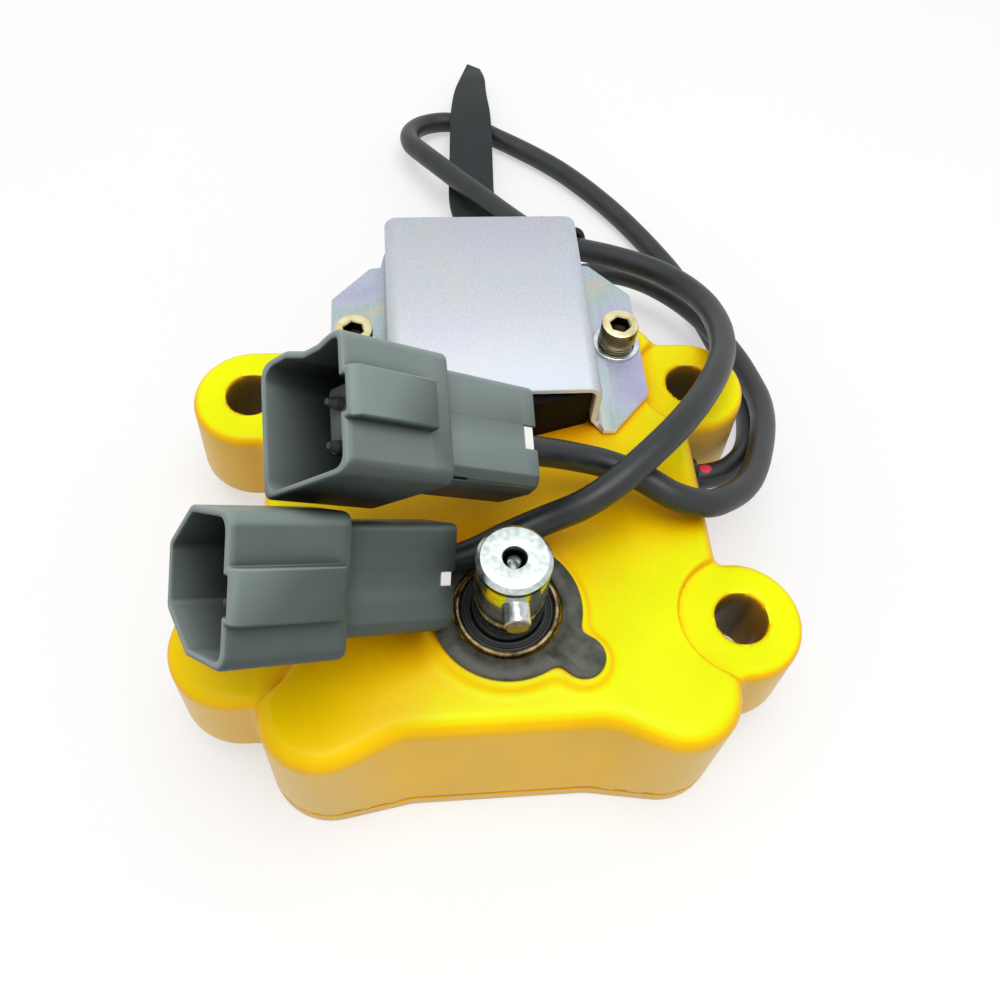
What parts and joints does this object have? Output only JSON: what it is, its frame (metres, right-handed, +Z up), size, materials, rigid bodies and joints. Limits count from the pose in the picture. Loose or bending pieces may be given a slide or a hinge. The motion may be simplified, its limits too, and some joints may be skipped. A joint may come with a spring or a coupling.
{
  "type": "engine governor actuator",
  "caption": "Yellow cast governor actuator with a steel output shaft, a cross pin, a folded cable guard and two leads ending in grey connectors.",
  "frame": {"origin": "on the output shaft's axis, in the plane of the base cover's underside", "axes": "+Z up along the output shaft, +Y towards the end with the cable guard, +X to the right seen from the shaft's end of the top"},
  "size_m": [0.1403, 0.2471, 0.0921],
  "materials": {
    "paint": "glossy thick paint over a cast surface",
    "gasket": "matt",
    "black_steel": "blackened, worn",
    "bright_steel": "ground",
    "bronze": "satin",
    "rubber": "matt with a soft sheen",
    "zinc": "zinc plated, faint colour",
    "gold_zinc": "yellow passivated zinc",
    "grey_plastic": "matt",
    "white_plastic": "satin",
    "black_plastic": "matt"
  },
  "bodies": {
    "housing_body": {"housing": "paint", "mounting_ears": "paint", "base_cover": "paint", "cover_gasket": "gasket", "cover_screws": "black_steel", "upper_bush": "bronze", "lower_bush": "bronze", "seal_case": "bronze", "seal_lip": "rubber", "retainer_plate": "black_steel", "thrust_washer": "bronze", "motor_can": "zinc", "motor_stator": "bronze", "sensor_body": "black_plastic", "cable_guard": "zinc", "guard_screws": "gold_zinc", "spring_washers": "gold_zinc", "flat_washers": "bright_steel", "lead_boot": "rubber", "side_grommet": "rubber", "rear_grommet": "rubber", "motor_cable": "rubber", "sensor_cable": "rubber", "cable_tie": "black_plastic", "upper_connector_shell": "grey_plastic", "upper_connector_pins": "bright_steel", "upper_connector_lock": "white_plastic", "upper_connector_seal": "rubber", "lower_connector_shell": "grey_plastic", "lower_connector_pins": "bright_steel", "lower_connector_lock": "white_plastic", "lower_connector_seal": "rubber"},
    "shaft_body": {"output_shaft": "bright_steel", "cross_pin": "bright_steel", "sector_gear": "black_steel", "gear_key": "bright_steel", "shaft_circlip": "black_steel", "sensor_wiper": "bronze"},
    "rotor_body": {"motor_rotor": "black_steel", "motor_pinion": "bronze"}
  },
  "joints": [
    {"name": "output_turn", "type": "hinge", "parent": "housing_body", "child": "shaft_body", "pos_m": [0, 0, 0.03], "axis": [0, 0, 1], "range_deg": [-30, 30]},
    {"name": "motor_turn", "type": "hinge", "parent": "housing_body", "child": "rotor_body", "pos_m": [0, 0.042, 0.02], "axis": [0, 0, 1], "range_deg": [-155, 155]}
  ],
  "couplings": [
    {"joint": "motor_turn", "follows": "output_turn", "ratio": -5}
  ]
}
